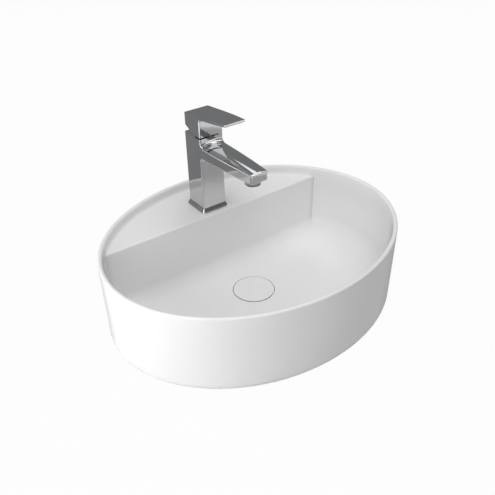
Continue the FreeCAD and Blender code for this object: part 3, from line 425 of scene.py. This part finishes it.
def shaded_aerator_chrome():
    """Plating of the aerator, with painted shade that makes it darker than the tap's, and darker still
    round its mouth.
    """
    finish = plating("shaded_aerator_chrome", clean=0.08, smeared=0.16)
    mouth_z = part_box("aerator_housing")[0].z
    height = finish.axes(finish.position)["Z"]
    mouth_shade = finish.ramp(height, start=mouth_z + MOUTH_SHADE_BAND, full=mouth_z + MOUTH_SHADE_BAND / 2)
    plate = finish.cloud(*AERATOR_SHADE_TONES, scale=PLATE_SCALE)
    finish.feed(finish.mix(mouth_shade, plate, MOUTH_SHADE_TONE), "Base Color")
    return finish.material


def collar_chrome():
    """Plating of the collar under the lever: plain in front, with painted shade at its sides in the gap
    under the lever.
    """
    finish = plating("collar_chrome", clean=0.08, smeared=0.16)
    aside = finish.without_sign(finish.axes(finish.position)["X"])
    gap_shade = finish.ramp(aside, start=BRIGHT_ASIDE, full=GAP_SHADE_ASIDE)
    plate = finish.cloud(*PLATE_TONES, scale=PLATE_SCALE)
    finish.feed(finish.mix(gap_shade, plate, GAP_SHADE_TONE), "Base Color")
    return finish.material


def turned_chrome():
    finish = Finish("turned_chrome", Metallic=1.0)
    finish.tones((0.58, 0.588, 0.6), (0.52, 0.527, 0.54), scale=45.0)
    finish.shine(clean=0.14, smeared=0.24, scale=50.0)
    finish.rings(scale=420.0, depth=0.00006, strength=0.2)
    return finish.material


def turned_brass(name, centre):
    finish = Finish(name, centre=centre, Metallic=1.0)
    finish.tones((0.74, 0.56, 0.28), (0.62, 0.45, 0.2), scale=90.0)
    finish.shine(clean=0.24, smeared=0.42, scale=60.0)
    finish.rings(scale=380.0, depth=0.0001, strength=0.3)
    return finish.material


def brushed_steel():
    finish = Finish("brushed_steel", stretch=(0.06, 1, 1), Metallic=1.0)
    finish.tones((0.56, 0.56, 0.57), (0.47, 0.47, 0.48), scale=700.0)
    finish.shine(clean=0.26, smeared=0.4, scale=300.0)
    finish.grain(scale=2600.0, swell=0.5, depth=0.00005, strength=0.3)
    return finish.material


def drawn_steel():
    finish = Finish("drawn_steel", Metallic=1.0)
    finish.tones((0.58, 0.58, 0.59), (0.46, 0.46, 0.47), scale=240.0)
    finish.shine(clean=0.22, smeared=0.34, scale=200.0)
    finish.grain(scale=1800.0, swell=0.5, depth=0.00004, strength=0.25)
    return finish.material


def machined_stem():
    finish = Finish("machined_stem", centre=TAP_AXIS, Metallic=1.0)
    finish.tones((0.55, 0.55, 0.56), (0.45, 0.45, 0.46), scale=180.0)
    finish.shine(clean=0.24, smeared=0.36, scale=120.0)
    finish.rings(scale=700.0, depth=0.00004, strength=0.25)
    return finish.material


def black_rubber():
    finish = Finish("black_rubber", Specular_IOR_Level=0.35)
    finish.tones((0.022, 0.022, 0.023), (0.045, 0.045, 0.046), scale=190.0)
    finish.shine(clean=0.55, smeared=0.78, scale=140.0)
    finish.grain(scale=2400.0, swell=0.6, depth=0.0001, strength=0.4)
    return finish.material


def moulded_plastic(name, first, second, clean, smeared):
    finish = Finish(name, IOR=1.48)
    finish.tones(first, second, scale=110.0)
    finish.shine(clean=clean, smeared=smeared, scale=80.0)
    finish.grain(scale=2000.0, swell=0.8, depth=0.00006, strength=0.3)
    return finish.material


def lapped_ceramic():
    finish = Finish("lapped_ceramic", IOR=1.7)
    finish.tones((0.86, 0.85, 0.8), (0.8, 0.785, 0.73), scale=1400.0)
    finish.shine(clean=0.08, smeared=0.16, scale=160.0)
    finish.grain(scale=4000.0, swell=0.2, depth=0.00002, strength=0.2)
    return finish.material


def dress_nodes():
    """Gives each CAD node its material, and returns the materials by node."""
    chrome = polished_chrome()
    turned = turned_chrome()
    steel = brushed_steel()
    wire = drawn_steel()
    rubber = black_rubber()
    white = moulded_plastic("white_plastic", (0.82, 0.82, 0.8), (0.77, 0.77, 0.75), 0.38, 0.5)
    dark = moulded_plastic("dark_plastic", (0.055, 0.056, 0.06), (0.08, 0.081, 0.085), 0.34, 0.46)
    pale = moulded_plastic("pale_plastic", (0.68, 0.7, 0.72), (0.62, 0.64, 0.66), 0.3, 0.42)
    discs = lapped_ceramic()
    waste_brass = turned_brass("waste_brass", WASTE_AXIS)
    tap_brass = turned_brass("tap_brass", TAP_AXIS)
    looks = {
        "basin_bowl": basin_glaze(),
        "waste_cover": cover_glaze(),
        "waste_cover_seal": rubber,
        "waste_plunger": white,
        "waste_spring": wire,
        "waste_guide": white,
        "waste_body": turned,
        "waste_top_gasket": rubber,
        "waste_lower_gasket": rubber,
        "waste_slip_washer": white,
        "waste_back_nut": waste_brass,
        "tap_body": chrome,
        "tap_base_ring": shaded_ring_chrome(),
        "tap_base_gasket": rubber,
        "fixing_stud": wire,
        "fixing_gasket": rubber,
        "fixing_plate": steel,
        "fixing_nut": tap_brass,
        "cartridge_base_seals": rubber,
        "cartridge_base": white,
        "fixed_disc": discs,
        "moving_disc": discs,
        "disc_carrier": dark,
        "cartridge_shell": white,
        "cartridge_rotor": dark,
        "stem_pivot_pin": wire,
        "lever_stem": machined_stem(),
        "cartridge_nut": collar_chrome(),
        "lever_handle": chrome,
        "handle_grub_screw": wire,
        "handle_plug": dark,
        "aerator_housing": shaded_aerator_chrome(),
        "aerator_insert": pale,
        "aerator_washer": rubber,
    }
    for name, node in nodes.items():
        for place in node.material_slots:
            place.material = looks[name]
    return looks


def thread_ridge(bm, axis_x, axis_y, radius, height, pitch, low_z, high_z):
    """Adds a screw thread's ridge, which climbs from low_z to high_z round an upright axis."""
    turns = (high_z - low_z) / pitch - 1
    steps = max(1, round(turns * THREAD_STEPS))
    root = radius - THREAD_SUNK
    crest = (radius + height, low_z + pitch * RIDGE_CREST)
    corners = [(root, low_z), crest, (root, low_z + pitch * RIDGE_END)]
    start = bm.faces.new([bm.verts.new((axis_x + r, axis_y, z)) for r, z in corners])
    bmesh.ops.spin(
        bm,
        geom=[start],
        cent=(axis_x, axis_y, 0),
        axis=(0, 0, 1),
        dvec=(0, 0, turns * pitch / steps),
        angle=2 * math.pi * turns,
        steps=steps,
    )


def add_waste_thread(looks):
    """The thread of the waste's tail, from its end to the nut, with a break at the groove."""
    nut_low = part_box("waste_back_nut")[0]
    tail_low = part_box("waste_body")[0]
    below_groove = (tail_low.z + WASTE_TAIL_CHAMFER, WASTE_GROOVE_LOW - THREAD_CLEAR)
    above_groove = (WASTE_GROOVE_HIGH + THREAD_CLEAR, nut_low.z - THREAD_CLEAR)
    x, y = WASTE_AXIS[:2]
    bm = bmesh.new()
    for low_z, high_z in (below_groove, above_groove):
        thread_ridge(bm, x, y, WASTE_TAIL_RADIUS, WASTE_THREAD_HEIGHT, WASTE_THREAD_PITCH, low_z, high_z)
    thread = new_piece("waste_thread", bm, looks["waste_body"])
    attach(thread, "basin")


def add_stud_thread(looks):
    """The thread of the fixing stud, from its end to the nut."""
    stud_low, stud_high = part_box("fixing_stud")
    nut_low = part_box("fixing_nut")[0]
    middle = (stud_low + stud_high) / 2
    radius = (stud_high.x - stud_low.x) / 2
    low_z = stud_low.z + STUD_CHAMFER
    high_z = nut_low.z - THREAD_CLEAR
    bm = bmesh.new()
    thread_ridge(bm, middle.x, middle.y, radius, STUD_THREAD_HEIGHT, STUD_THREAD_PITCH, low_z, high_z)
    thread = new_piece("stud_thread", bm, looks["fixing_stud"])
    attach(thread, "basin")


def add_aerator_screen(looks):
    """The crossed bars in the mouth of the aerator, which straighten the water."""
    low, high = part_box("aerator_housing")
    middle = (low + high) / 2
    bar_z = low.z + SCREEN_RECESS + SCREEN_DEPTH / 2
    bm = bmesh.new()
    reach = int(SCREEN_RADIUS / SCREEN_PITCH)
    for lane in range(-reach, reach + 1):
        aside = lane * SCREEN_PITCH
        length = 2 * math.sqrt(SCREEN_RADIUS**2 - aside**2)
        for turn in (0, math.pi / 2):
            made = bmesh.ops.create_cube(bm, size=1)
            size = Matrix.Diagonal((length, SCREEN_BAR, SCREEN_DEPTH, 1))
            step = Matrix.Translation((0, aside, bar_z))
            place = Matrix.Translation((middle.x, middle.y, 0)) @ Matrix.Rotation(turn, 4, "Z")
            bmesh.ops.transform(bm, matrix=place @ step @ size, verts=made["verts"])
    screen = new_piece("aerator_screen", bm, looks["aerator_insert"])
    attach(screen, "basin")


def empty_material(name):
    """A new material without nodes, and its tree."""
    material = bpy.data.materials.new(name)
    material.use_nodes = True
    material.node_tree.nodes.clear()
    return material, material.node_tree


def studio_material():
    """Matt paper that lights the object as paper does, and shows as white to the camera and in mirrors."""
    material, tree = empty_material("studio_paper")
    path = add_node(tree, "ShaderNodeLightPath").outputs
    seen = add_math(tree, "MAXIMUM", path["Is Camera Ray"], path["Is Glossy Ray"])
    seen = add_math(tree, "MAXIMUM", seen, path["Is Transmission Ray"])
    share = add_math(tree, "MULTIPLY", seen, BACKGROUND_SHARE)
    spot = add_node(tree, "ShaderNodeTexCoord").outputs["Object"]
    distance = add_node(tree, "ShaderNodeVectorMath", {0: spot}, operation="LENGTH").outputs["Value"]
    fade = add_ramp(tree, distance, start=WHITE_TO, full=GREY_FROM)
    shade = add_mix(tree, fade, PAPER_WHITE, DOME_GREY)
    paper = add_node(tree, "ShaderNodeBsdfDiffuse", {"Color": FLOOR_COLOUR}).outputs["BSDF"]
    white = add_node(tree, "ShaderNodeEmission", {"Color": shade, "Strength": 1.0}).outputs["Emission"]
    mixed = add_node(tree, "ShaderNodeMixShader", {0: share, 1: paper, 2: white}).outputs["Shader"]
    add_node(tree, "ShaderNodeOutputMaterial", {"Surface": mixed})
    return material


def add_studio_sweep():
    """A counter with a hole for the waste, which runs out flat and turns up into a pale wall all round."""
    profile = [(COUNTER_HOLE_RADIUS, 0), (FLOOR_MIDDLE_RADIUS, 0), (FLOOR_RADIUS, 0)]
    for step in range(1, SWEEP_BENDS + 1):
        bend = math.radians(90 * step / SWEEP_BENDS)
        out = FLOOR_RADIUS + SWEEP_RADIUS * math.sin(bend)
        profile.append((out, SWEEP_RADIUS * (1 - math.cos(bend))))
    profile.append((FLOOR_RADIUS + SWEEP_RADIUS, SWEEP_HEIGHT))
    bm = bmesh.new()
    verts = [bm.verts.new((r, 0, z)) for r, z in profile]
    edges = [bm.edges.new(pair) for pair in zip(verts, verts[1:])]
    bmesh.ops.spin(
        bm,
        geom=verts + edges,
        cent=(0, 0, 0),
        axis=(0, 0, 1),
        angle=2 * math.pi,
        steps=SWEEP_STEPS,
        use_merge=True,
    )
    sweep = new_piece("studio_sweep", bm, studio_material())
    for face in sweep.data.polygons:
        face.use_smooth = True


def reflected_card(name, middle, target, width, height, colour):
    """A card that only reflections show: it stands at middle and faces the target."""
    material, tree = empty_material(name)
    glow = add_node(tree, "ShaderNodeEmission", {"Color": colour, "Strength": 1.0})
    add_node(tree, "ShaderNodeOutputMaterial", {"Surface": glow.outputs["Emission"]})
    bm = bmesh.new()
    bmesh.ops.create_grid(bm, x_segments=1, y_segments=1, size=0.5)
    size = Matrix.Diagonal((width, height, 1, 1))
    turned = turn_towards(middle, target).to_matrix().to_4x4()
    bmesh.ops.transform(bm, matrix=Matrix.Translation(middle) @ turned @ size, verts=bm.verts)
    card = new_piece(name, bm, material)
    card.visible_camera = False
    card.visible_diffuse = False
    card.visible_transmission = False
    card.visible_shadow = False


def softbox(name, place, target, width, height, power):
    """A lamp that the camera doesn't see. Reflections show it unless it is in LAMPS_NOT_REFLECTED."""
    data = bpy.data.lights.new(name, "AREA")
    data.shape = "RECTANGLE"
    data.size = width
    data.size_y = height
    data.energy = power
    lamp = bpy.data.objects.new(name, data)
    lamp.location = place
    lamp.rotation_mode = "QUATERNION"
    lamp.rotation_quaternion = turn_towards(place, target)
    lamp.visible_camera = False
    lamp.visible_glossy = name not in LAMPS_NOT_REFLECTED
    scene.collection.objects.link(lamp)


def add_light():
    for card in CARDS:
        reflected_card(*card)
    for lamp in LAMPS:
        softbox(*lamp)
    world = bpy.data.worlds.new("studio_dome")
    world.use_nodes = True
    world.node_tree.nodes["Background"].inputs["Color"].default_value = DOME_GREY
    scene.world = world
    scene.view_settings.view_transform = "Standard"


make_camera()
LOOKS = dress_nodes()
add_waste_thread(LOOKS)
add_stud_thread(LOOKS)
add_aerator_screen(LOOKS)
add_studio_sweep()
add_light()
